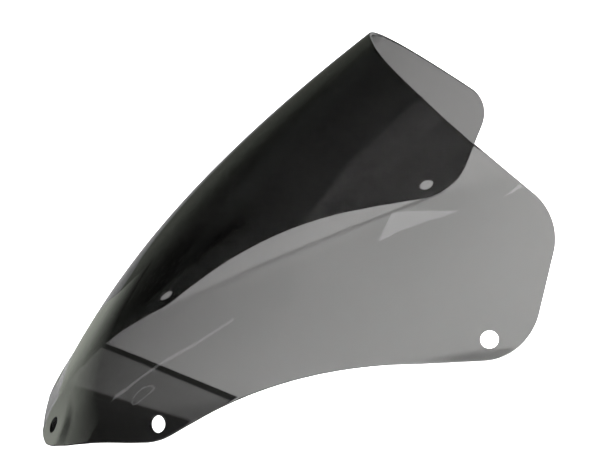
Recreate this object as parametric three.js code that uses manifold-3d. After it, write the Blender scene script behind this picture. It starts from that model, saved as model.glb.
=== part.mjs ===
// A smoked windscreen for a sports motorcycle, in millimetres.
//
// The screen is one sheet of tinted acrylic, formed to a double curve, trimmed to its outline and
// drilled with three pairs of mounting holes. It stands on its nose and its two rear feet:
// +X runs back from the nose towards the rider, +Y is the screen's left-to-right axis, +Z is up.
// The left and right halves mirror each other across the plane y = 0.
import * as THREE from 'three';
import { mergeVertices } from 'three/addons/utils/BufferGeometryUtils.js';
import Module from 'manifold-3d';

// ---- Driving dimensions ----

const sheetThickness = 3;
const holeDiameter = 12;

// The ridge is the sheet's centre line, a single cubic curve from the nose to the top edge.
const topSetback = 335;
const topHeight = 186;
const noseSetback = 2;
const noseClimb = new THREE.Vector2(78, 72);
const topClimb = new THREE.Vector2(173, 57);

// Away from the ridge the sheet falls along one direction, flat over the crown and steeper down
// the flanks. Both values run from the nose to the top as the four weights of a cubic curve.
const fallAngle = THREE.MathUtils.degToRad(-82.3);
const crownSquareness = 2.6;
const flankSlopes = [1.21, 2.59, 3.77, 5.35];
const crownWidths = [117, 156, 207, 210];

// The trimmed outline, seen from the side, is a run of straight edges with rounded corners.
const noseCorner = { ahead: 1, height: -3.2, radius: 3.5 };
const frontRise = { setback: 46, height: 7.7, radius: 150 };
const frontFoot = { setback: 100, height: 3.4, radius: 60 };
const sideArch = { setback: 205, height: 31, radius: 290 };
const rearFoot = { behindTop: 24, height: -9.6, radius: 42 };
const rearTip = { behindTop: 76.5, height: 65.7, radius: 34 };

// Each hole is placed from the corner that it is drilled beside, and sits on a flat round land.
const noseHole = { behindCorner: 14, aboveCorner: 11.5 };
const frontHole = { behindCorner: 4, aboveCorner: 10.4 };
const rearHole = { aheadOfCorner: 20, aboveCorner: 18.8 };
const landRadius = 15;
const landFade = 14;

// ---- How finely the curved sheet is divided into flat faces ----

const stepsAlong = 46;
const stepsAcross = 12;
const edgeCrowding = 1.3;
const arcStep = THREE.MathUtils.degToRad(6);
const edgeStep = 2;
const fewestEdgeSteps = 4;
const holeSides = 24;

// ---- How the sheet's surface is searched and measured ----

// Stations a little past both ends of the ridge, between which any trimmed point is found.
const firstStation = -0.2;
const lastStation = 1.4;
const halvings = 50;
const normalReach = 0.05;
const mergeTolerance = 1e-4;
const drillLength = 24;

// ---- The formed surface, before trimming ----

const fall = new THREE.Vector2(Math.cos(fallAngle), Math.sin(fallAngle));
const ridge = new THREE.CubicBezierCurve(
  new THREE.Vector2(noseSetback, 0),
  new THREE.Vector2(noseSetback, 0).add(noseClimb),
  new THREE.Vector2(topSetback, topHeight).sub(topClimb),
  new THREE.Vector2(topSetback, topHeight)
);

function cubicBlend(weights, station) {
  const rest = 1 - station;
  return weights[0] * rest ** 3
    + weights[1] * 3 * rest ** 2 * station
    + weights[2] * 3 * rest * station ** 2
    + weights[3] * station ** 3;
}

// How far the sheet has dropped below its ridge, a given distance out to the side.
function dropAt(station, side) {
  const width = cubicBlend(crownWidths, station);
  const stretch = (1 + (Math.abs(side) / width) ** crownSquareness) ** (1 / crownSquareness);
  return cubicBlend(flankSlopes, station) * width * (stretch - 1);
}

// The distance out to the side at which the sheet has dropped by a given amount.
function sideAt(station, drop) {
  const width = cubicBlend(crownWidths, station);
  const stretch = 1 + Math.max(drop, 0) / (cubicBlend(flankSlopes, station) * width);
  return width * (stretch ** crownSquareness - 1) ** (1 / crownSquareness);
}

function formedPoint(station, side) {
  const foot = ridge.getPoint(station);
  const drop = dropAt(station, side);
  return new THREE.Vector3(foot.x + fall.x * drop, side, foot.y + fall.y * drop);
}

// The outward normal of any surface that is given as a function of station and side.
function normalOf(surface, station, side) {
  const nudge = normalReach / topSetback;
  const along = surface(station + nudge, side).sub(surface(station - nudge, side));
  const across = surface(station, side + normalReach)
    .sub(surface(station, side - normalReach));
  return along.cross(across).normalize();
}

// Where a point of the side view lies on the sheet: its station on the ridge and its side.
function locate(point) {
  const across = (spot) => spot.x * fall.y - spot.y * fall.x;
  const wanted = across(point);
  let low = firstStation;
  let high = lastStation;
  for (let turn = 0; turn < halvings; turn += 1) {
    const middle = (low + high) / 2;
    if (across(ridge.getPoint(middle)) > wanted) {
      low = middle;
    } else {
      high = middle;
    }
  }
  const station = (low + high) / 2;
  const drop = point.clone().sub(ridge.getPoint(station)).dot(fall);
  return new THREE.Vector2(station, sideAt(station, drop));
}

// ---- The trimmed outline in the side view ----

const corners = {
  nose: new THREE.Vector2(noseSetback + noseCorner.ahead, noseCorner.height),
  frontRise: new THREE.Vector2(frontRise.setback, frontRise.height),
  frontFoot: new THREE.Vector2(frontFoot.setback, frontFoot.height),
  sideArch: new THREE.Vector2(sideArch.setback, sideArch.height),
  rearFoot: new THREE.Vector2(topSetback + rearFoot.behindTop, rearFoot.height),
  rearTip: new THREE.Vector2(topSetback + rearTip.behindTop, rearTip.height),
};

// The points of an arc that rounds one corner between its two neighbours.
function roundedCorner(before, corner, after, radius) {
  const inward = corner.clone().sub(before).normalize();
  const outward = after.clone().sub(corner).normalize();
  const turn = Math.atan2(inward.cross(outward), inward.dot(outward));
  const cut = radius * Math.tan(Math.abs(turn) / 2);
  const start = corner.clone().addScaledVector(inward, -cut);
  const towardCentre = new THREE.Vector2(-inward.y, inward.x).multiplyScalar(Math.sign(turn));
  const centre = start.clone().addScaledVector(towardCentre, radius);
  const pieces = 2 * Math.ceil(Math.abs(turn) / arcStep / 2);
  const points = [];
  for (let piece = 0; piece <= pieces; piece += 1) {
    points.push(start.clone().rotateAround(centre, (turn * piece) / pieces));
  }
  return points;
}

const noseMiddle = ridge.getPoint(0);
const topMiddle = ridge.getPoint(1);
const noseArc = roundedCorner(noseMiddle, corners.nose, corners.frontRise, noseCorner.radius);
const tipArc = roundedCorner(corners.rearFoot, corners.rearTip, topMiddle, rearTip.radius);
const noseHalf = (noseArc.length - 1) / 2;
const tipHalf = (tipArc.length - 1) / 2;

const noseEdge = [noseMiddle, ...noseArc.slice(0, noseHalf + 1)];
const lowerEdge = [
  ...noseArc.slice(noseHalf),
  ...roundedCorner(corners.nose, corners.frontRise, corners.frontFoot, frontRise.radius),
  ...roundedCorner(corners.frontRise, corners.frontFoot, corners.sideArch, frontFoot.radius),
  ...roundedCorner(corners.frontFoot, corners.sideArch, corners.rearFoot, sideArch.radius),
  ...roundedCorner(corners.sideArch, corners.rearFoot, corners.rearTip, rearFoot.radius),
  ...tipArc.slice(0, tipHalf + 1),
];
const topEdge = [topMiddle, ...tipArc.slice(tipHalf).reverse()];

// An edge as a function: a share of its length on the sheet gives the station and side there.
function edgeOnSheet(outline) {
  const finePoints = [];
  for (let index = 0; index < outline.length - 1; index += 1) {
    const span = outline[index].distanceTo(outline[index + 1]);
    const pieces = Math.ceil(span / edgeStep) + fewestEdgeSteps;
    for (let piece = 0; piece < pieces; piece += 1) {
      finePoints.push(outline[index].clone().lerp(outline[index + 1], piece / pieces));
    }
  }
  finePoints.push(outline[outline.length - 1]);
  const spots = finePoints.map(locate);
  const places = spots.map((spot) => formedPoint(spot.x, spot.y));
  const lengths = [0];
  for (let index = 1; index < places.length; index += 1) {
    lengths.push(lengths[index - 1] + places[index].distanceTo(places[index - 1]));
  }
  return (share) => {
    const wanted = share * lengths[lengths.length - 1];
    let index = 1;
    while (index < lengths.length - 1 && lengths[index] < wanted) {
      index += 1;
    }
    const part = (wanted - lengths[index - 1]) / (lengths[index] - lengths[index - 1]);
    return spots[index - 1].clone().lerp(spots[index], part);
  };
}

// ---- The flat lands round the holes ----

const holePlaces = [
  new THREE.Vector2(noseHole.behindCorner, noseHole.aboveCorner).add(corners.nose),
  new THREE.Vector2(frontHole.behindCorner, frontHole.aboveCorner).add(corners.frontFoot),
  new THREE.Vector2(-rearHole.aheadOfCorner, rearHole.aboveCorner).add(corners.rearFoot),
];

function landOf(place, hand) {
  const spot = locate(place);
  const side = hand * spot.y;
  return { centre: formedPoint(spot.x, side), normal: normalOf(formedPoint, spot.x, side) };
}

const lands = holePlaces.flatMap((place) => [landOf(place, -1), landOf(place, 1)]);

function sheetPoint(station, side) {
  const point = formedPoint(station, side);
  for (const land of lands) {
    const offset = point.clone().sub(land.centre);
    const height = offset.dot(land.normal);
    const distance = offset.addScaledVector(land.normal, -height).length();
    const weight = 1 - THREE.MathUtils.smoothstep(distance, landRadius, landRadius + landFade);
    point.addScaledVector(land.normal, -height * weight);
  }
  return point;
}

// ---- The sheet as a closed solid ----

// One half is a four-sided patch between the ridge, the nose edge, the lower edge and the top
// edge. The patch is filled in by blending its four sides.
const alongNose = edgeOnSheet(noseEdge);
const alongLower = edgeOnSheet(lowerEdge);
const alongTop = edgeOnSheet(topEdge);

function patchSpot(along, across) {
  const ridgeSpot = new THREE.Vector2(along, 0);
  const fromSides = ridgeSpot.lerp(alongLower(along), across);
  const fromEnds = alongNose(across).lerp(alongTop(across), along);
  const noseLine = alongLower(0).multiplyScalar(across);
  const topLine = new THREE.Vector2(1, 0).lerp(alongLower(1), across);
  return fromSides.add(fromEnds).sub(noseLine.lerp(topLine, along));
}

function sheetGeometry() {
  const rows = stepsAlong + 1;
  const columns = 2 * stepsAcross + 1;
  const outer = [];
  const inner = [];
  for (let row = 0; row < rows; row += 1) {
    for (let column = 0; column < columns; column += 1) {
      const share = (column - stepsAcross) / stepsAcross;
      const across = 1 - (1 - Math.abs(share)) ** edgeCrowding;
      const spot = patchSpot(row / stepsAlong, across);
      const side = Math.sign(share) * spot.y;
      const point = sheetPoint(spot.x, side);
      outer.push(point);
      inner.push(point.clone().addScaledVector(normalOf(sheetPoint, spot.x, side), -sheetThickness));
    }
  }
  const positions = [...outer, ...inner].flatMap((point) => point.toArray());
  const faces = [];
  const innerStart = outer.length;
  for (let row = 0; row < stepsAlong; row += 1) {
    for (let column = 0; column < columns - 1; column += 1) {
      const a = row * columns + column;
      const b = a + columns;
      faces.push(a, b, b + 1, a, b + 1, a + 1);
      const c = innerStart + a;
      const d = innerStart + b;
      faces.push(c, d + 1, d, c, c + 1, d + 1);
    }
  }
  const rim = [];
  for (let column = 0; column < columns; column += 1) {
    rim.push(column);
  }
  for (let row = 1; row < rows; row += 1) {
    rim.push(row * columns + columns - 1);
  }
  for (let column = columns - 2; column >= 0; column -= 1) {
    rim.push((rows - 1) * columns + column);
  }
  for (let row = rows - 2; row > 0; row -= 1) {
    rim.push(row * columns);
  }
  rim.forEach((here, index) => {
    const next = rim[(index + 1) % rim.length];
    faces.push(here, next, innerStart + next, here, innerStart + next, innerStart + here);
  });
  const geometry = new THREE.BufferGeometry();
  geometry.setAttribute('position', new THREE.Float32BufferAttribute(positions, 3));
  geometry.setIndex(faces);
  return geometry;
}

// ---- Drilling ----

const wasm = await Module();
wasm.setup();

function toSolid(geometry) {
  const bare = geometry.clone();
  bare.deleteAttribute('normal');
  bare.deleteAttribute('uv');
  const merged = mergeVertices(bare, mergeTolerance);
  return new wasm.Manifold(new wasm.Mesh({
    numProp: 3,
    vertProperties: new Float32Array(merged.attributes.position.array),
    triVerts: new Uint32Array(merged.index.array),
  }));
}

function toGeometry(solid) {
  const mesh = solid.getMesh();
  const geometry = new THREE.BufferGeometry();
  geometry.setAttribute('position', new THREE.Float32BufferAttribute(mesh.vertProperties, 3));
  geometry.setIndex([...mesh.triVerts]);
  return geometry;
}

function drill(land) {
  const radius = holeDiameter / 2;
  const geometry = new THREE.CylinderGeometry(radius, radius, drillLength, holeSides);
  const turn = new THREE.Quaternion().setFromUnitVectors(new THREE.Vector3(0, 1, 0), land.normal);
  geometry.applyQuaternion(turn);
  geometry.translate(land.centre.x, land.centre.y, land.centre.z);
  return toSolid(geometry);
}

const drilled = lands.reduce((solid, land) => solid.subtract(drill(land)), toSolid(sheetGeometry()));

// ---- The finished part, with its origin under the middle of its bounding box ----

const panelGeometry = toGeometry(drilled);
panelGeometry.computeBoundingBox();
const box = panelGeometry.boundingBox.clone();
const middle = box.getCenter(new THREE.Vector3());
panelGeometry.translate(-middle.x, -middle.y, -box.min.z);
panelGeometry.computeVertexNormals();

const smokedAcrylic = new THREE.MeshStandardMaterial({
  name: 'smoked_acrylic',
  color: 0x3a3b3d,
  roughness: 0.04,
  metalness: 0,
  transparent: true,
  opacity: 0.6,
  flatShading: true,
});

const panel = new THREE.Mesh(panelGeometry, smokedAcrylic);
panel.name = 'windscreen_panel';

const windscreen = new THREE.Group();
windscreen.add(panel);

export default windscreen;
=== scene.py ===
# %% [markdown]
# # A smoked motorcycle windscreen
# The real screen is one sheet of tinted acrylic. It is heated, formed over a buck into a double
# curve, trimmed to its outline, polished along the cut edge and drilled for six rubber well nuts.
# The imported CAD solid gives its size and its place. This lesson makes the same sheet again with a
# fine mesh, because a clear and glossy surface shows every flat facet in its reflections.

import math

import bmesh
import bpy
import numpy as np
from mathutils import Matrix, Vector
from mathutils.geometry import delaunay_2d_cdt


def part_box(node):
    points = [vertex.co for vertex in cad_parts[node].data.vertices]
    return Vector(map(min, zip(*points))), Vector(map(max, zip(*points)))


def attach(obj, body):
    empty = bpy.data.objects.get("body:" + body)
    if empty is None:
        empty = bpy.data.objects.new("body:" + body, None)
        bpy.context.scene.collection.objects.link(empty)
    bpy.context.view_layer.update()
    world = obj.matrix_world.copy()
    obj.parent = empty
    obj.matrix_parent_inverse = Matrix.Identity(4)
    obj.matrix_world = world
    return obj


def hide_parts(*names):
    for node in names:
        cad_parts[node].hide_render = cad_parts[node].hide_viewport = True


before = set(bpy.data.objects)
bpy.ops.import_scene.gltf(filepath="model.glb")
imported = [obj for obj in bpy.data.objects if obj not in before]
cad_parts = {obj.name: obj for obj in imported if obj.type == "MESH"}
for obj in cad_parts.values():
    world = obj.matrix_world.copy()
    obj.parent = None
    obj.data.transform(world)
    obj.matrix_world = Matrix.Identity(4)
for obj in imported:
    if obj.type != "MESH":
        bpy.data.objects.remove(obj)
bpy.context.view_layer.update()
panelLow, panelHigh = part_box("windscreen_panel")

# %% [markdown]
# ## The camera
# The camera comes first, so that every later step can be judged in the view that matters. It
# looks at the left flank from a little above, from far enough away to flatten the perspective,
# and it is rolled so that the screen climbs steeply across the picture. A matrix with the three
# axes of the camera as its columns is the plainest way to set a rolled view.

# %% Place the camera
aimPoint = Vector((0.0320, 0.0, 0.0680))
aimDistance = 1.1657
headingLeft, lookDown, rollRight = (math.radians(a) for a in (4.52, 20.98, 21.80))
focalLength = 93.9

forward = Vector((-math.sin(headingLeft) * math.cos(lookDown),
                  math.cos(headingLeft) * math.cos(lookDown), -math.sin(lookDown)))
level = forward.cross(Vector((0, 0, 1))).normalized()
rolled = Matrix.Rotation(rollRight, 3, forward)
cameraRight = rolled @ level
cameraUp = cameraRight.cross(forward)

cameraData = bpy.data.cameras.new("camera")
cameraData.sensor_width = 36
cameraData.lens = focalLength
cameraData.clip_start, cameraData.clip_end = 0.01, 50
camera = bpy.data.objects.new("camera", cameraData)
bpy.context.scene.collection.objects.link(camera)
camera.matrix_world = Matrix.Translation(aimPoint - forward * aimDistance) @ Matrix(
    (cameraRight, cameraUp, -forward)).transposed().to_4x4()
bpy.context.scene.camera = camera
print("camera at", [round(v, 4) for v in camera.matrix_world.translation])
print("right", [round(v, 4) for v in cameraRight], "up", [round(v, 4) for v in cameraUp])

# %% [markdown]
# ## The curve of the sheet
# A formed screen has a long ridge down its middle, flat over the crown and steep down the flanks.
# It could be sculpted, or drawn as a few NURBS patches. A formula is chosen here, the same one
# that the CAD solid was cut from, so the fine mesh and the solid agree to a fraction of a
# millimetre. All its lengths are in millimetres, with the nose at the start of the ridge.

# %% The ridge and the flanks
sheetThickness = 3.0
ridgeNose, ridgeTop = np.array((2.0, 0.0)), np.array((335.0, 186.0))
noseClimb, topClimb = np.array((78.0, 72.0)), np.array((173.0, 57.0))
fallAngle = math.radians(-82.3)
fall = np.array((math.cos(fallAngle), math.sin(fallAngle)))
crownSquareness = 2.6
flankSlopes = (1.21, 2.59, 3.77, 5.35)
crownWidths = (117.0, 156.0, 207.0, 210.0)
normalReach = 0.05


def blend(weights, station):
    """A cubic curve through four weights, each a number or a point."""
    rest = 1 - station
    shares = (rest ** 3, 3 * rest ** 2 * station, 3 * rest * station ** 2, station ** 3)
    return sum(np.multiply.outer(share, weight) for share, weight in zip(shares, weights))


def ridge_at(station):
    return blend((ridgeNose, ridgeNose + noseClimb, ridgeTop - topClimb, ridgeTop), station)


def drop_at(station, side):
    width = blend(crownWidths, station)
    stretch = (1 + (np.abs(side) / width) ** crownSquareness) ** (1 / crownSquareness)
    return blend(flankSlopes, station) * width * (stretch - 1)


def side_at(station, drop):
    width = blend(crownWidths, station)
    stretch = 1 + np.maximum(drop, 0) / (blend(flankSlopes, station) * width)
    return width * (stretch ** crownSquareness - 1) ** (1 / crownSquareness)


def formed_point(station, side):
    foot, drop = ridge_at(station), drop_at(station, side)
    return np.stack((foot[..., 0] + fall[0] * drop, side, foot[..., 1] + fall[1] * drop), -1)


def unit(vectors):
    return vectors / np.linalg.norm(vectors, axis=-1, keepdims=True)


def normal_of(surface, station, side):
    nudge = normalReach / ridgeTop[0]
    along = surface(station + nudge, side) - surface(station - nudge, side)
    across = surface(station, side + normalReach) - surface(station, side - normalReach)
    return unit(np.cross(along, across))


print("crown 60 mm out at mid length:", formed_point(np.array(0.5), np.array(60.0)).round(2))

# %% [markdown]
# ## The trimmed outline
# Seen from the side, a trimmed screen is a run of nearly straight cuts with rounded corners: a
# small radius at the nose, gentle bends along the fairing line, a deep arch over the tank side
# and a round tip behind. Each corner is written as a point and a radius, as on a trim drawing,
# and then each cut is found on the curved sheet.

# %% Corners and rounds of the side view
trimCorners = (((3.0, -3.2), 3.5), ((46.0, 7.7), 150.0), ((100.0, 3.4), 60.0),
               ((205.0, 31.0), 290.0), ((359.0, -9.6), 42.0), ((411.5, 65.7), 34.0))
arcStep = math.radians(1.5)


def rounded_corner(before, corner, after, radius):
    inward, outward = unit(corner - before), unit(after - corner)
    turn = math.atan2(inward[0] * outward[1] - inward[1] * outward[0], inward @ outward)
    start = corner - inward * radius * math.tan(abs(turn) / 2)
    centre = start + np.array((-inward[1], inward[0])) * math.copysign(radius, turn)
    angles = np.linspace(0, turn, 2 * math.ceil(abs(turn) / arcStep / 2) + 1)
    spoke = start - centre
    return np.stack((centre[0] + spoke[0] * np.cos(angles) - spoke[1] * np.sin(angles),
                     centre[1] + spoke[0] * np.sin(angles) + spoke[1] * np.cos(angles)), -1)


cornerLine = [ridgeNose, *(np.array(c) for c, _ in trimCorners), ridgeTop]
arcs = [rounded_corner(cornerLine[i], cornerLine[i + 1], cornerLine[i + 2], trimCorners[i][1])
        for i in range(len(trimCorners))]
noseHalf, tipHalf = len(arcs[0]) // 2, len(arcs[-1]) // 2
noseEdge = np.vstack((ridgeNose, arcs[0][:noseHalf + 1]))
lowerEdge = np.vstack((arcs[0][noseHalf:], *arcs[1:-1], arcs[-1][:tipHalf + 1]))
topEdge = np.vstack((ridgeTop, arcs[-1][tipHalf:][::-1]))
print("outline points:", len(noseEdge), len(lowerEdge), len(topEdge))

# %% Find the outline on the sheet
searchFrom, searchTo, halvings = -0.2, 1.4, 50
edgeStep = 0.5
rimInset = 0.9


def station_of(points):
    """The station of points that are given in the side view."""
    def across(spots):
        return spots[..., 0] * fall[1] - spots[..., 1] * fall[0]
    low, high = (np.full(len(points), v) for v in (searchFrom, searchTo))
    for _ in range(halvings):
        middle = (low + high) / 2
        before = across(ridge_at(middle)) > across(points)
        low, high = np.where(before, middle, low), np.where(before, high, middle)
    return (low + high) / 2


def locate(points):
    """Station and side on the sheet of points that are given in the side view."""
    station = station_of(points)
    return station, side_at(station, (points - ridge_at(station)) @ fall)


def finely(outline):
    fine = [outline[:1]]
    for a, b in zip(outline[:-1], outline[1:]):
        pieces = math.ceil(np.linalg.norm(b - a) / edgeStep)
        fine.append(a + (b - a) * np.linspace(0, 1, pieces + 1)[1:, None])
    return np.vstack(fine)


# %% [markdown]
# The cut edge of the real sheet is flame polished into a small round. So the flat net stops a
# little inside the cut, and the round edge is added round it afterwards. The inner line is the
# outline moved in along the sheet, square to the cut.

# %% Bring the outline in by the width of the round edge
edgeParts = [finely(edge) for edge in (noseEdge, lowerEdge, topEdge[::-1])]
cutStation, cutSide = locate(np.vstack(edgeParts))
cutLine = formed_point(cutStation, cutSide)
cutTangents = np.gradient(cutLine, axis=0)
cutTangents[0], cutTangents[-1] = (0, 1, 0), (0, -1, 0)
cutNormals = normal_of(formed_point, cutStation, cutSide)
bordering = cutLine + rimInset * unit(np.cross(cutTangents, cutNormals))
borderStation = station_of(bordering[:, (0, 2)])
borderSide = np.maximum(bordering[:, 1], 0)
borderSide[[0, -1]] = 0


def edge_of_net(first, last, backwards=False):
    """A function from the share of one edge's length to its station and side."""
    station, side = borderStation[first:last], borderSide[first:last]
    if backwards:
        station, side = station[::-1], side[::-1]
    steps = np.linalg.norm(np.diff(formed_point(station, side), axis=0), axis=1)
    lengths = np.concatenate(((0,), np.cumsum(steps)))
    print("edge", round(lengths[-1], 1), "mm long")

    def at(share):
        wanted = share * lengths[-1]
        return np.stack((np.interp(wanted, lengths, station),
                         np.interp(wanted, lengths, side)), -1)
    return at


noseEnd = len(edgeParts[0])
lowerEnd = noseEnd + len(edgeParts[1])
along_nose = edge_of_net(0, noseEnd)
along_lower = edge_of_net(noseEnd, lowerEnd)
along_top = edge_of_net(lowerEnd, len(borderSide), backwards=True)

# %% [markdown]
# ## The flat lands round the holes
# A rubber well nut seals only on a flat face, so the sheet is pressed flat in a small round land
# at each hole. Round each hole the formula's point is moved onto the land's plane, fully inside
# the land and less and less across a fade.

# %% Lands
landRadius, landFade = 15.0, 14.0
noseHoleAt = np.array(trimCorners[0][0]) + (14.0, 11.5)
frontHoleAt = np.array(trimCorners[2][0]) + (4.0, 10.4)
rearHoleAt = np.array(trimCorners[4][0]) + (-20.0, 18.8)
holeStations, holeSides = locate(np.array((noseHoleAt, frontHoleAt, rearHoleAt)))
lands = []
for station, side in zip(holeStations, holeSides):
    for hand in (-1, 1):
        spot = np.array(station), np.array(hand * side)
        lands.append((formed_point(*spot), normal_of(formed_point, *spot)))


def sheet_point(station, side):
    points = formed_point(station, side)
    for centre, normal in lands:
        offset = points - centre
        height = (offset @ normal)[..., None]
        distance = np.linalg.norm(offset - height * normal, axis=-1, keepdims=True)
        t = np.clip((distance - landRadius) / landFade, 0, 1)
        points = points - height * (1 - t * t * (3 - 2 * t)) * normal
    return points


for centre, normal in lands:
    print("land at", centre.round(1), "facing", normal.round(3))

# %% [markdown]
# ## The two faces of the sheet
# Each half is a four-sided patch between the ridge and the three trimmed edges. Its inside is
# blended from its four sides, as a Coons patch. The rows crowd towards the edges, where the
# shape turns fastest. The outer face comes from the formula, and the inner face is the same net
# moved in by the thickness.

# %% The net of points
rowsAlong, columnsAcross = 216, 84
crowding = 1.15
ridgeFrom, ridgeTo = borderStation[0], borderStation[-1]


def patch_spot(along, across):
    """Station and side inside one half, blended from the patch's four sides."""
    a, c = along[..., None], across[..., None]
    noseMiddle, topMiddle = np.array((ridgeFrom, 0.0)), np.array((ridgeTo, 0.0))
    fromSides = (noseMiddle * (1 - a) + topMiddle * a) * (1 - c) + along_lower(along) * c
    fromEnds = along_nose(across) * (1 - a) + along_top(across) * a
    noseLine = noseMiddle * (1 - c) + along_lower(0.0) * c
    topLine = topMiddle * (1 - c) + along_lower(1.0) * c
    return fromSides + fromEnds - (noseLine * (1 - a) + topLine * a)


shares = np.linspace(-1, 1, 2 * columnsAcross + 1)
acrossShares = 1 - (1 - np.abs(shares)) ** crowding
fromMiddle = np.linspace(-1, 1, rowsAlong + 1)
alongShares = (1 + np.sign(fromMiddle) * (1 - (1 - np.abs(fromMiddle)) ** crowding)) / 2
spots = patch_spot(*np.meshgrid(alongShares, acrossShares, indexing="ij"))
netStation, netSide = spots[..., 0], spots[..., 1] * np.sign(shares)
outerNet = sheet_point(netStation, netSide)
netNormals = normal_of(sheet_point, netStation, netSide)
innerNet = outerNet - sheetThickness * netNormals
print("net of", outerNet.shape[:2], "points, longest step",
      round(max(np.linalg.norm(np.diff(outerNet, axis=k), axis=-1).max() for k in (0, 1)), 2), "mm")

# %% [markdown]
# ## Putting the mesh together
# A boolean cut would drill the holes, but it leaves long thin faces that show in a glossy
# surface. Here the faces round each hole are left out instead, and the gap in the flat land is
# filled up to an exact circle. The points and faces are collected in plain lists first.

# %% Number the net's points and faces
rows, columns = outerNet.shape[:2]
points = [outerNet.reshape(-1, 3), innerNet.reshape(-1, 3)]
innerStart = rows * columns
pointCount = 2 * innerStart
faces = []
corner = np.arange(innerStart).reshape(rows, columns)
netFaces = np.stack((corner[:-1, :-1], corner[1:, :-1], corner[1:, 1:], corner[:-1, 1:]), -1)
netFaces = netFaces.reshape(-1, 4)


def add_points(more):
    """Adds points to the list and returns their numbers."""
    global pointCount
    points.append(np.asarray(more, float).reshape(-1, 3))
    numbers = np.arange(pointCount, pointCount + len(points[-1]))
    pointCount += len(points[-1])
    return numbers


def skin_loops(loops):
    """Quads between each closed loop of points and the next one."""
    for loop, nextLoop in zip(loops[:-1], loops[1:]):
        faces.extend(np.stack((loop, np.roll(loop, -1), np.roll(nextLoop, -1), nextLoop), -1).tolist())


# %% [markdown]
# ## The holes
# Each 12 mm hole has a straight wall, and its two mouths are broken with a small round so that
# the acrylic doesn't crack from a sharp corner. The profile of the hole is turned round its axis
# in small steps, and a Delaunay triangulation joins its outermost circle to the net.

# %% Drill the six holes
holeRadius, mouthRound = 6.0, 0.5
wallSteps, mouthSteps, turnSteps = 4, 4, 72
fillRadius, flatRings, clearRadius = 7.8, (7.1, 6.7), 9.4
landTolerance, fillTolerance, withinCircle = 1.0, 1e-6, 0.999
turns = np.linspace(0, 2 * math.pi, turnSteps, endpoint=False)
mouth = [(holeRadius + mouthRound * (1 - math.sin(a)), mouthRound * (1 - math.cos(a)))
         for a in np.linspace(0, math.pi / 2, mouthSteps + 1)]
outerHalf = [(r, 0.0) for r in (fillRadius, *flatRings)] + mouth
wall = [(holeRadius, depth) for depth in
        np.linspace(mouthRound, sheetThickness - mouthRound, wallSteps + 1)[1:-1]]
holeProfile = outerHalf + wall + [(r, sheetThickness - depth) for r, depth in outerHalf[::-1]]
kept = np.ones(len(netFaces), bool)


def boundary_loop(removed):
    """The points round a patch of removed faces, in order."""
    edges = {(f[i], f[(i + 1) % 4]) for f in removed.tolist() for i in range(4)}
    following = {a: b for a, b in edges if (b, a) not in edges}
    loop = [min(following)]
    while following[loop[-1]] != loop[0]:
        loop.append(following[loop[-1]])
    assert len(loop) == len(following), "the faces round a hole make more than one loop"
    return loop


for centre, normal in lands:
    sideways = unit(np.cross(normal, (0.0, 0.0, 1.0)))
    upwards = np.cross(normal, sideways)
    offsets = points[0] - centre
    flat = np.stack((offsets @ sideways, offsets @ upwards), -1)
    near = (np.hypot(flat[:, 0], flat[:, 1]) < clearRadius) & (np.abs(offsets @ normal) < landTolerance)
    removed = near[netFaces].any(1)
    kept &= ~removed
    loop = boundary_loop(netFaces[removed])
    circle = np.stack((np.cos(turns), np.sin(turns)), -1)
    spokes = circle[:, :1] * sideways + circle[:, 1:] * upwards
    rings = [add_points(centre - normal * depth + r * spokes) for r, depth in holeProfile]
    skin_loops(rings)
    plane = [Vector(p) for p in flat[loop]] + [Vector(p) for p in circle * fillRadius]
    size = len(loop)
    ringEdges = [(i, (i + 1) % size) for i in range(size)]
    ringEdges += [(size + i, size + (i + 1) % len(turns)) for i in range(len(turns))]
    places, _, triangles, origins, _, _ = delaunay_2d_cdt(plane, ringEdges, [], 0, fillTolerance)
    outline = flat[loop]
    for triangle in triangles:
        a, b, c = (np.array(places[i]) for i in triangle)
        middle = (a + b + c) / 3
        ahead = np.roll(outline, -1, 0)
        crossing = (outline[:, 1] > middle[1]) != (ahead[:, 1] > middle[1])
        reach = outline[:, 0] + (middle[1] - outline[:, 1]) * (ahead[:, 0] - outline[:, 0]) / np.where(
            crossing, ahead[:, 1] - outline[:, 1], 1)
        insideGap = (crossing & (middle[0] < reach)).sum() % 2
        if not insideGap or np.hypot(*middle) < fillRadius * withinCircle:
            continue
        own = [origins[i][0] for i in triangle]
        turnedOut = (b - a)[0] * (c - a)[1] - (b - a)[1] * (c - a)[0] > 0
        own = own if turnedOut else own[::-1]
        outer = [loop[i] if i < size else rings[0][i - size] for i in own]
        inner = [innerStart + loop[i] if i < size else rings[-1][i - size] for i in own]
        faces.append(outer)
        faces.append(inner[::-1])
print("faces left out for the holes:", int((~kept).sum()))

# %% [markdown]
# ## The polished edge
# Flame polishing melts the sawn edge of the sheet into a smooth round. It is drawn as half an
# ellipse swept round the whole outline, as wide as the sheet is thick.

# %% Close the sheet with its round edge
edgeSteps = 8
border = np.concatenate((corner[0, :], corner[1:, -1], corner[-1, -2::-1], corner[-2:0:-1, 0]))
borderPoints = points[0][border]
borderNormals = netNormals.reshape(-1, 3)[border]
borderTangents = np.roll(borderPoints, -1, 0) - np.roll(borderPoints, 1, 0)
outwards = unit(np.cross(borderNormals, borderTangents))
edgeLoops = [border]
for a in np.linspace(0, math.pi, edgeSteps + 1)[1:-1]:
    middle = borderPoints - borderNormals * sheetThickness / 2
    edgeLoops.append(add_points(middle + borderNormals * sheetThickness / 2 * math.cos(a)
                                + outwards * rimInset * math.sin(a)))
edgeLoops.append(border + innerStart)
skin_loops(edgeLoops)
faces.extend(netFaces[kept].tolist())
faces.extend((netFaces[kept][:, ::-1] + innerStart).tolist())

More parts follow.
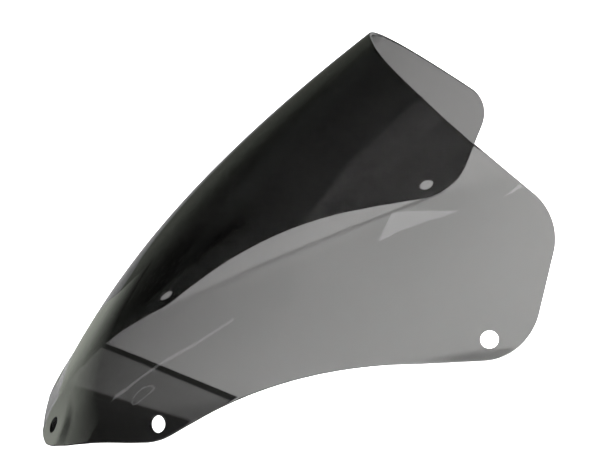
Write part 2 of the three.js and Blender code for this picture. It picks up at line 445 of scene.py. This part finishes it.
# %% [markdown]
# The finished points move into the shared frame, in metres. Points that no face uses are dropped,
# the faces are all turned to look outwards, and the mesh is shaded smooth.

# %% Make the sheet
everyPoint = np.vstack(points)
used = np.zeros(len(everyPoint), bool)
used[[i for face in faces for i in face]] = True
shown = everyPoint[used]
meshMiddle = (shown.min(0) + shown.max(0)) / 2
shift = np.array(((panelLow.x + panelHigh.x) / 2, 0, panelLow.z)) - np.array(
    (meshMiddle[0], 0, shown[:, 2].min())) / 1000
sheetMesh = bpy.data.meshes.new("windscreen_sheet")
sheetMesh.from_pydata((everyPoint / 1000 + shift).tolist(), [], faces)
tidyMesh = bmesh.new()
tidyMesh.from_mesh(sheetMesh)
bmesh.ops.delete(tidyMesh, geom=[v for v in tidyMesh.verts if not v.link_faces], context="VERTS")
bmesh.ops.recalc_face_normals(tidyMesh, faces=tidyMesh.faces)
openEdges = sum(not edge.is_manifold for edge in tidyMesh.edges)
volume = tidyMesh.calc_volume()
tidyMesh.to_mesh(sheetMesh)
tidyMesh.free()
sheetMesh.polygons.foreach_set("use_smooth", [True] * len(sheetMesh.polygons))
windscreenSheet = bpy.data.objects.new("windscreen_sheet", sheetMesh)
bpy.context.scene.collection.objects.link(windscreenSheet)
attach(windscreenSheet, "root")
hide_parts("windscreen_panel")
print("shift", shift.round(5), "faces", len(sheetMesh.polygons), "open edges", openEdges,
      "volume", round(volume * 1e6, 2), "cubic centimetres")

# %% [markdown]
# ## Smoked acrylic
# The sheet is clear plastic with a grey dye all through it, so the dark tone comes from how much
# plastic the light crosses, not from its surface. A mixed see-through surface would be quicker,
# but it would miss how the tone deepens where the sheet turns away. So the surface is a clear
# dielectric, and a Volume Absorption inside it does the tinting: one layer lets about 7 percent of
# the light through, and two layers look almost black.

# %% Start the material
def new_node(tree, kind, **sockets):
    node = tree.nodes.new(kind)
    for name, value in sockets.items():
        node.inputs[name.replace("_", " ")].default_value = value
    return node


acrylicIor = 1.49
dyeColour, dyeDensity = (0.128, 0.124, 0.120, 1.0), 1000.0

smokedAcrylic = bpy.data.materials.new("smoked_acrylic_sheet")
smokedAcrylic.use_nodes = True
tree = smokedAcrylic.node_tree
surface = tree.nodes["Principled BSDF"]
surface.inputs["Base Color"].default_value = (1, 1, 1, 1)
surface.inputs["Transmission Weight"].default_value = 1.0
surface.inputs["IOR"].default_value = acrylicIor
dye = new_node(tree, "ShaderNodeVolumeAbsorption", Color=dyeColour, Density=dyeDensity)
tree.links.new(dye.outputs["Volume"], tree.nodes["Material Output"].inputs["Volume"])
place = new_node(tree, "ShaderNodeTexCoord")
throughOneLayer = math.exp(-dyeDensity * (1 - dyeColour[0]) * sheetThickness / 1000)
print("one layer lets through", round(throughOneLayer, 3))

# %% [markdown]
# Forming leaves a slight ripple that bends the reflections a little, about as long as a finger is
# wide, and a finer orange peel on top of it. Both are noise in the bump, so the outline keeps its
# shape.

# %% Ripple of the formed surface
ripple = new_node(tree, "ShaderNodeTexNoise", Scale=14.0, Detail=1.0, Roughness=0.4)
peel = new_node(tree, "ShaderNodeTexNoise", Scale=160.0, Detail=2.0, Roughness=0.5)
rippleBump = new_node(tree, "ShaderNodeBump", Strength=0.30, Distance=0.0006)
peelBump = new_node(tree, "ShaderNodeBump", Strength=0.06, Distance=0.0001)
for noise, bump in ((ripple, rippleBump), (peel, peelBump)):
    tree.links.new(place.outputs["Object"], noise.inputs["Vector"])
    tree.links.new(noise.outputs["Fac"], bump.inputs["Height"])
tree.links.new(rippleBump.outputs["Normal"], peelBump.inputs["Normal"])
tree.links.new(peelBump.outputs["Normal"], surface.inputs["Normal"])

# %% [markdown]
# New acrylic is almost a mirror, but it is never perfect. Long thin wiping marks from cleaning
# and a few dull spots of dust are faint, and they show only where a light is reflected. They are
# noise in the roughness, stretched along the wiping direction for the marks.

# %% Wiping marks and dust
wipeAxes = new_node(tree, "ShaderNodeMapping")
wipeAxes.inputs["Rotation"].default_value = (0.3, 0.5, 0.9)
wipeAxes.inputs["Scale"].default_value = (30, 700, 320)
wipes = new_node(tree, "ShaderNodeTexNoise", Scale=1.0, Detail=3.0, Roughness=0.6)
dust = new_node(tree, "ShaderNodeTexVoronoi", Scale=220.0)
wipeGloss = new_node(tree, "ShaderNodeMapRange", From_Min=0.45, From_Max=0.85,
                     To_Min=0.012, To_Max=0.085)
dustGloss = new_node(tree, "ShaderNodeMapRange", From_Min=0.04, From_Max=0.12,
                     To_Min=0.16, To_Max=0.0)
duller = new_node(tree, "ShaderNodeMath")
duller.operation = "MAXIMUM"
tree.links.new(place.outputs["Object"], wipeAxes.inputs["Vector"])
tree.links.new(wipeAxes.outputs["Vector"], wipes.inputs["Vector"])
tree.links.new(place.outputs["Object"], dust.inputs["Vector"])
tree.links.new(wipes.outputs["Fac"], wipeGloss.inputs["Value"])
tree.links.new(dust.outputs["Distance"], dustGloss.inputs["Value"])
tree.links.new(wipeGloss.outputs["Result"], duller.inputs[0])
tree.links.new(dustGloss.outputs["Result"], duller.inputs[1])
tree.links.new(duller.outputs["Value"], surface.inputs["Roughness"])
sheetMesh.materials.append(smokedAcrylic)

# %% [markdown]
# ## The floor
# The screen stands on plain pale paper that runs out of sight, as a paper sweep does. A plane with
# a matt material is enough for that. It lies a fifth of a millimetre low, so that the edge that
# stands on it never shares its plane. The Standard view transform keeps paper that is lit past
# white quite white.

# %% Pale floor
floorSize, floorDrop = 16.0, 0.0002
bpy.context.scene.view_settings.view_transform = "Standard"
bpy.ops.mesh.primitive_plane_add(size=floorSize, location=(0, 0, -floorDrop))
floor = bpy.context.object
floor.name = "studio_floor"


def dress(owner, name):
    """Gives an object a new node material and returns the material's tree."""
    material = bpy.data.materials.new(name)
    material.use_nodes = True
    owner.data.materials.append(material)
    return material.node_tree


paperTree = dress(floor, "pale_paper")
paperShader = paperTree.nodes["Principled BSDF"]
paperShader.inputs["Roughness"].default_value = 0.9
paperShader.inputs["Specular IOR Level"].default_value = 0.1
print("paper", floorSize, "m square,", floorDrop * 1000, "mm below the screen")

# %% [markdown]
# Seen through the dark sheet, the paper under the nose and behind the ridge is out of the light.
# It could be darkened with real boards between it and the lamps, but their shadows would spread
# past the screen. So the shade is part of the paper, and only a ray that has passed the acrylic
# meets it. Its edges are straight, so it is built from distances past a line and from a point.

# %% Nodes that measure the floor
floorPlace = new_node(paperTree, "ShaderNodeNewGeometry").outputs["Position"]
paperRays = new_node(paperTree, "ShaderNodeLightPath").outputs


def paper_math(operation, first, second):
    """A Math node on the paper; each input is a number or another node's output."""
    node = new_node(paperTree, "ShaderNodeMath")
    node.operation = operation
    for socket, value in zip(node.inputs, (first, second)):
        if isinstance(value, (int, float)):
            socket.default_value = value
        else:
            paperTree.links.new(value, socket)
    return node.outputs["Value"]


def floor_vector(operation, first, second):
    node = new_node(paperTree, "ShaderNodeVectorMath")
    node.operation = operation
    node.inputs[1].default_value = second
    paperTree.links.new(first, node.inputs[0])
    return node.outputs


def beyond(start, end):
    """How far a point of the floor lies past a straight line, in metres."""
    along = (Vector(end) - Vector(start)).normalized()
    shift = floor_vector("SUBTRACT", floorPlace, start)["Vector"]
    return floor_vector("DOT_PRODUCT", shift, (along.y, -along.x, 0))["Value"]


def away_from(point):
    return floor_vector("DISTANCE", floorPlace, point)["Value"]


def levels(value, stops):
    """Light levels at given distances, with straight lines between them."""
    last = stops[-1][0]
    node = new_node(paperTree, "ShaderNodeValToRGB")
    while len(node.color_ramp.elements) < len(stops):
        node.color_ramp.elements.new(0.5)
    for element, (distance, level) in zip(node.color_ramp.elements, stops):
        element.position, element.color = distance / last, (level, level, level, 1)
    paperTree.links.new(paper_math("DIVIDE", value, last), node.inputs["Fac"])
    return node.outputs["Color"]


print("measuring with", len(paperTree.nodes), "nodes so far")

# %% [markdown]
# Under the nose there are two edges. Past the first one comes a dark stripe, half a centimetre
# wide, and then a half shade. Past the second one the half shade turns deep. Behind the ridge one
# edge is enough. Each shade fades out in a ring, so that it ends under the screen.

# %% Shade under the nose and behind the ridge
pastFirstEdge = levels(beyond((-0.168, 0.118, 0), (-0.044, -0.082, 0)),
                       ((0, 1), (0.001, 0.06), (0.0055, 0.06), (0.0075, 0.44), (0.10, 0.40)))
pastSecondEdge = levels(beyond((-0.182, 0.044, 0), (-0.079, -0.092, 0)),
                        ((0, 1), (0.003, 0.20), (0.10, 0.20)))
pastRidgeEdge = levels(beyond((-0.036, 0.257, 0), (-0.157, 0.135, 0)),
                       ((0, 1), (0.012, 0.1), (0.2, 0.1)))
nearNose = levels(away_from((-0.12, 0, 0)), ((0, 1), (0.125, 1), (0.15, 0)))
nearRidge = levels(away_from((-0.10, 0.21, 0)), ((0, 1), (0.07, 1), (0.15, 0)))
noseDark = paper_math("SUBTRACT", 1, paper_math("MULTIPLY", pastFirstEdge, pastSecondEdge))
ridgeDark = paper_math("SUBTRACT", 1, pastRidgeEdge)
dark = paper_math("MAXIMUM", paper_math("MULTIPLY", noseDark, nearNose),
                  paper_math("MULTIPLY", ridgeDark, nearRidge))
print("shade made of", len(paperTree.nodes), "nodes")

# %% [markdown]
# A mirror image of this bright paper in the sheet would hide the dye. So the paper is also dim to
# rays that were reflected. Blender counts a ray through a clear surface as glossy too, which is
# why the transmission rays are taken away from the glossy ones.

# %% The paper's tone
paperWhite, mirrorDimming = 0.88, 0.85
shaded = paper_math("MULTIPLY", dark, paperRays["Is Transmission Ray"])
reflected = paper_math("SUBTRACT", paperRays["Is Glossy Ray"], paperRays["Is Transmission Ray"])
mirrored = paper_math("MULTIPLY", reflected, mirrorDimming)
paperLevel = paper_math("SUBTRACT", 1, paper_math("MAXIMUM", shaded, mirrored))
paperTree.links.new(paper_math("MULTIPLY", paperLevel, paperWhite), paperShader.inputs["Base Color"])
print("paper reflects", paperWhite, "and", round(paperWhite * (1 - mirrorDimming), 3), "in mirror images")

# %% [markdown]
# The nose hole is seen almost edge on, and it looks dark. A small black strip on the floor, where that
# hole looks, is painted shade that makes it dark. It is part of the studio, not of the screen.

# %% A black strip of painted shade behind the nose hole
shadeStripFrom, shadeStripTo, shadeStripHeight = (-0.196, -0.036), (-0.188, -0.004), -floorDrop / 2
shadeStrip = bpy.data.objects.new("painted_shade_strip", bpy.data.meshes.new("painted_shade_strip"))
shadeStrip.data.from_pydata([(*shadeStripFrom, shadeStripHeight), (shadeStripTo[0], shadeStripFrom[1], shadeStripHeight),
                       (*shadeStripTo, shadeStripHeight), (shadeStripFrom[0], shadeStripTo[1], shadeStripHeight)], [], [(0, 1, 2, 3)])
bpy.context.scene.collection.objects.link(shadeStrip)
# Its black colour is painted shade, seen through the nose hole.
shadeStripShader = dress(shadeStrip, "painted_shade_black").nodes["Principled BSDF"]
shadeStripShader.inputs["Base Color"].default_value = (0.002, 0.002, 0.002, 1)
shadeStripShader.inputs["Roughness"].default_value = 1.0
shadeStripShader.inputs["Specular IOR Level"].default_value = 0.0
print("shadeStrip", [round((b - a) * 1000, 1) for a, b in zip(shadeStripFrom, shadeStripTo)], "mm")

# %% [markdown]
# ## The studio
# The paper is lit far past white, as in a catalogue shot, so that the dark acrylic still glows
# where it is one layer thick. A pale tent all round gives even light and real soft shadows. In
# reflections the tent is almost black above and a dim olive near the horizon, which lifts the
# tone along the ridge, where the sheet is seen edge on.

# %% The tent
tentLight, backdropWhite = 2.1, 1.6
horizonGlow, overheadGlow, glowEnds = 0.14, 0.015, 0.62
sky = bpy.data.worlds.new("studio")
sky.use_nodes = True
bpy.context.scene.world = sky
skyTree = sky.node_tree
tent = skyTree.nodes["Background"]
tent.inputs["Color"].default_value = (1, 1, 1, 1)
tent.inputs["Strength"].default_value = tentLight
backdrop = new_node(skyTree, "ShaderNodeBackground", Color=(1, 1, 1, 1), Strength=backdropWhite)
mirrorTent = new_node(skyTree, "ShaderNodeBackground", Color=(0.94, 1.0, 0.86, 1))
skyPlace = new_node(skyTree, "ShaderNodeTexCoord")
skyHeight = new_node(skyTree, "ShaderNodeSeparateXYZ")
skyGlow = new_node(skyTree, "ShaderNodeMapRange", From_Min=0.0, From_Max=glowEnds,
                   To_Min=horizonGlow, To_Max=overheadGlow)
skyGlow.interpolation_type = "SMOOTHSTEP"
skyTree.links.new(skyPlace.outputs["Generated"], skyHeight.inputs["Vector"])
skyTree.links.new(skyHeight.outputs["Z"], skyGlow.inputs["Value"])
skyTree.links.new(skyGlow.outputs["Result"], mirrorTent.inputs["Strength"])
print("tent", tentLight, "for light,", horizonGlow, "to", overheadGlow, "in reflections")

# %% [markdown]
# The world's output takes one shader, so the three looks of the tent are chosen by the kind of
# ray. Reflections take the dim one, and the view itself, straight or through the sheet, takes a
# plain white backdrop.

# %% Choose the tent's look by ray
skyRays = new_node(skyTree, "ShaderNodeLightPath").outputs
viewed = new_node(skyTree, "ShaderNodeMath")
viewed.operation = "MAXIMUM"
skyTree.links.new(skyRays["Is Camera Ray"], viewed.inputs[0])
skyTree.links.new(skyRays["Is Transmission Ray"], viewed.inputs[1])
worldSurface = skyTree.nodes["World Output"].inputs["Surface"]
for factor, look in ((skyRays["Is Glossy Ray"], mirrorTent), (viewed.outputs["Value"], backdrop)):
    chooser = new_node(skyTree, "ShaderNodeMixShader")
    skyTree.links.new(factor, chooser.inputs["Fac"])
    skyTree.links.new(worldSurface.links[0].from_socket, chooser.inputs[1])
    skyTree.links.new(look.outputs["Background"], chooser.inputs[2])
    skyTree.links.new(chooser.outputs["Shader"], worldSurface)
print("the tent has", len(skyTree.nodes), "nodes")

# %% [markdown]
# Two lamps help the tent. A wide fill over the near side whitens the paper. Light linking lets it
# pass through the screen with no shadow, as the light of a far larger tent would. A small key
# from the rider's side throws a shadow that stays behind the screen, which models its depth.


# %% Fill and key
def toward(heading, height):
    """The direction at a heading from +X and a height above the horizon, in degrees."""
    heading, height = math.radians(heading), math.radians(height)
    return Vector((math.cos(heading) * math.cos(height),
                   math.sin(heading) * math.cos(height), math.sin(height)))


def add_light(name, direction, distance, energy, size):
    data = bpy.data.lights.new(name, "AREA")
    data.energy, data.shape, data.size = energy, "DISK", size
    light = bpy.data.objects.new(name, data)
    bpy.context.scene.collection.objects.link(light)
    light.rotation_euler = direction.to_track_quat("Z", "Y").to_euler()
    light.location = direction * distance
    light.visible_glossy = False
    return light


fill = add_light("tent_fill", toward(-100, 50), distance=1.0, energy=28, size=0.6)
clearOfSheet = bpy.data.collections.new("blockers_of_the_fill")
clearOfSheet.objects.link(floor)
fill.light_linking.blocker_collection = clearOfSheet
key = add_light("key_softbox", toward(-6, 33), distance=2.2, energy=165, size=0.2)
print("fill at", [round(v, 2) for v in fill.location], "key at", [round(v, 2) for v in key.location])

# %% [markdown]
# ## What the sheet reflects
# Gloss only shows when there is something to mirror. Small bright cards stand round the screen in
# place of the studio's windows. Lamps would do, but a card can have any outline. Only reflections
# see the cards, so they change nothing else. Each is placed by the directions in which a spot of
# the screen sees its corners.

# %% Sheets that only reflections see
hiddenFrom = ("camera", "diffuse", "transmission", "volume_scatter", "shadow")


def glowing_sheet(name, places, faces, colour, radiance=1.0):
    """A glowing mesh of the studio; returns its material's tree and its glow."""
    mesh = bpy.data.meshes.new(name)
    mesh.from_pydata(places, [], faces)
    glowing = bpy.data.objects.new(name, mesh)
    bpy.context.scene.collection.objects.link(glowing)
    for kind in hiddenFrom:
        setattr(glowing, "visible_" + kind, False)
    glowTree = dress(glowing, name + "_glow")
    glowTree.nodes.remove(glowTree.nodes["Principled BSDF"])
    glow = new_node(glowTree, "ShaderNodeEmission", Color=(*colour, 1), Strength=radiance)
    glowTree.links.new(glow.outputs["Emission"], glowTree.nodes["Material Output"].inputs["Surface"])
    return glowTree, glow


print("hidden from", ", ".join(hiddenFrom))

# %% [markdown]
# A three-cornered card and a thin one give the two sharp highlights on the flank. A long narrow
# one gives the fine line down to the nose.


# %% Cards for the flank
def add_card(name, spot, corners, distance, radiance, colour=(1, 1, 1)):
    """A card whose corners lie in given directions from a spot.

    A long card lists one edge from end to end, and then the other edge back again.
    """
    places = [Vector(spot) + toward(*corner) * distance for corner in corners]
    last = len(places) - 1
    strips = [(i, i + 1, last - i - 1, last - i) for i in range(last // 2)]
    faces = strips if last > 3 else [tuple(range(len(places)))]
    glowing_sheet(name, places, faces, colour, radiance)
    print(name, "with", len(faces), "faces")


flankMiddle, lineMiddle = (0.118, -0.117, 0.094), (-0.08, -0.097, 0.05)
add_card("window_card", flankMiddle, ((-110.4, 35.7), (-110.3, 39.2), (-97.2, 31)),
         distance=2.0, radiance=2.6)
add_card("side_window_card", flankMiddle, ((-91.5, 27.9), (-84, 28.2), (-84, 25.2)),
         distance=2.0, radiance=2.6)
add_card("strip_card", lineMiddle,
         ((-138, 41.4), (-150, 40.1), (-164, 38.1), (-178, 33.2), (-184, 31),
          (-184, 30.4), (-178, 32.6), (-164, 37.5), (-150, 39.5), (-138, 40.8)),
         distance=2.0, radiance=1.6)

# %% [markdown]
# The streak along the shoulder is soft. A soft edge could be a gradient in the card's material.
# Four dim cards of falling width, one behind the other, do the same with no more nodes.

# %% The soft streak on the shoulder
shoulderMiddle = (0.020, -0.050, 0.140)
streak = ((100, 35), (112, 41), (131, 47.5), (142, 48), (150, 46), (160, 43.5), (165, 40))
for step, halfWidth in enumerate((9, 5, 3, 1.6)):
    lowerSide = [(heading, height - halfWidth) for heading, height in streak]
    upperSide = [(heading, height + halfWidth) for heading, height in streak[::-1]]
    add_card("shoulder_card_%d" % step, shoulderMiddle, lowerSide + upperSide,
             distance=1.5 + 0.02 * step, radiance=0.06, colour=(0.92, 1.0, 0.92))

# %% [markdown]
# The nose reflects something nearer: a low curved board that stands on the paper round it. It is
# bright at its foot and fades out towards its top edge, and it grows brighter towards the near
# side. So the nose is lit along its rim, while the shoulder, whose reflections pass over the
# board, stays dark.

# %% The low board round the nose
boardMiddle, boardRadius, boardTop, boardBays = Vector((-0.165, -0.045, 0)), 0.2, 0.155, 9
boardFoot = [boardMiddle + boardRadius * toward(95 + 10 * i, 0) for i in range(boardBays + 1)]
boardHead = [foot + Vector((0, 0, boardTop)) for foot in boardFoot]
boardFaces = [(i, i + 1, i + boardBays + 2, i + boardBays + 1) for i in range(boardBays)]
boardTree, boardGlow = glowing_sheet("nose_board", boardFoot + boardHead, boardFaces, (0.95, 1.0, 0.88))
boardPlace = new_node(boardTree, "ShaderNodeNewGeometry")
boardAxes = new_node(boardTree, "ShaderNodeSeparateXYZ")
upwardFade = new_node(boardTree, "ShaderNodeMapRange", From_Min=0.06, From_Max=boardTop,
                      To_Min=0.9, To_Max=0.0)
sidewaysFade = new_node(boardTree, "ShaderNodeMapRange", From_Min=0.05, From_Max=0.125,
                        To_Min=1.8, To_Max=0.65)
bothFades = new_node(boardTree, "ShaderNodeMath")
bothFades.operation = "MULTIPLY"
boardTree.links.new(boardPlace.outputs["Position"], boardAxes.inputs["Vector"])
boardTree.links.new(boardAxes.outputs["Z"], upwardFade.inputs["Value"])
boardTree.links.new(boardAxes.outputs["Y"], sidewaysFade.inputs["Value"])
boardTree.links.new(upwardFade.outputs["Result"], bothFades.inputs[0])
boardTree.links.new(sidewaysFade.outputs["Result"], bothFades.inputs[1])
boardTree.links.new(bothFades.outputs["Value"], boardGlow.inputs["Strength"])
print("board", boardTop * 1000, "mm high,", boardRadius * 1000, "mm from the nose")
